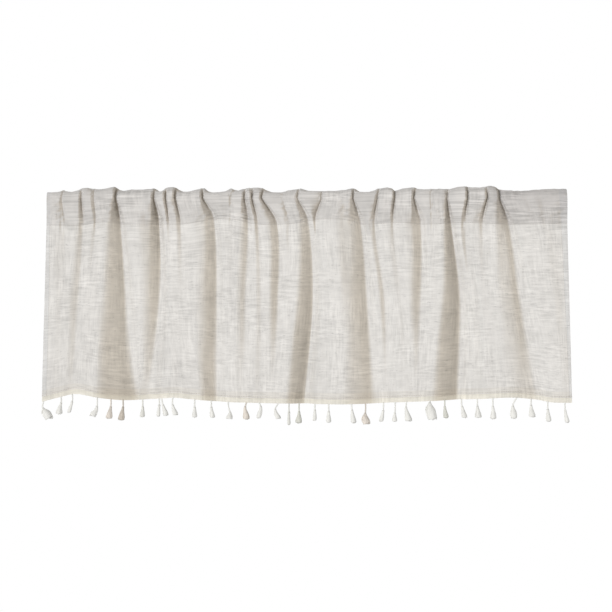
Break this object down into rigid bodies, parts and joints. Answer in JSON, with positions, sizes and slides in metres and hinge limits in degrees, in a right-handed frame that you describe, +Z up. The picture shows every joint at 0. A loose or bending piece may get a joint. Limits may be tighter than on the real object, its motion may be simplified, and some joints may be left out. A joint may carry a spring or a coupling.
{
  "type": "valance",
  "caption": "Rod pocket window valance in slubbed linen-look cloth, gathered on top, soft folds below, cream hem tape with hanging tassels.",
  "frame": {"origin": "on the axis of the curtain rod that the pocket hangs on, at mid width", "axes": "+X across the window to the right as seen from the room, +Y towards the window (the front faces -Y), +Z up"},
  "size_m": [1.0321, 0.0434, 0.4687],
  "materials": {
    "linen_cloth": "matt slubbed linen weave, pale greige",
    "cream_tape": "matt woven cotton tape, cream",
    "tassel_yarn": "matt cotton yarn, off-white"
  },
  "bodies": {
    "root": {"valance_panel": "linen_cloth", "trim_tape": "cream_tape", "tassel_01": "tassel_yarn", "tassel_02": "tassel_yarn", "tassel_03": "tassel_yarn", "tassel_04": "tassel_yarn", "tassel_05": "tassel_yarn", "tassel_06": "tassel_yarn", "tassel_07": "tassel_yarn", "tassel_08": "tassel_yarn", "tassel_09": "tassel_yarn", "tassel_10": "tassel_yarn", "tassel_11": "tassel_yarn", "tassel_12": "tassel_yarn", "tassel_13": "tassel_yarn", "tassel_14": "tassel_yarn", "tassel_15": "tassel_yarn", "tassel_16": "tassel_yarn", "tassel_17": "tassel_yarn", "tassel_18": "tassel_yarn", "tassel_19": "tassel_yarn", "tassel_20": "tassel_yarn", "tassel_21": "tassel_yarn", "tassel_22": "tassel_yarn", "tassel_23": "tassel_yarn", "tassel_24": "tassel_yarn", "tassel_25": "tassel_yarn", "tassel_26": "tassel_yarn", "tassel_27": "tassel_yarn", "tassel_28": "tassel_yarn", "tassel_29": "tassel_yarn", "tassel_30": "tassel_yarn", "tassel_31": "tassel_yarn", "tassel_32": "tassel_yarn", "tassel_33": "tassel_yarn", "tassel_34": "tassel_yarn"}
  },
  "joints": []
}
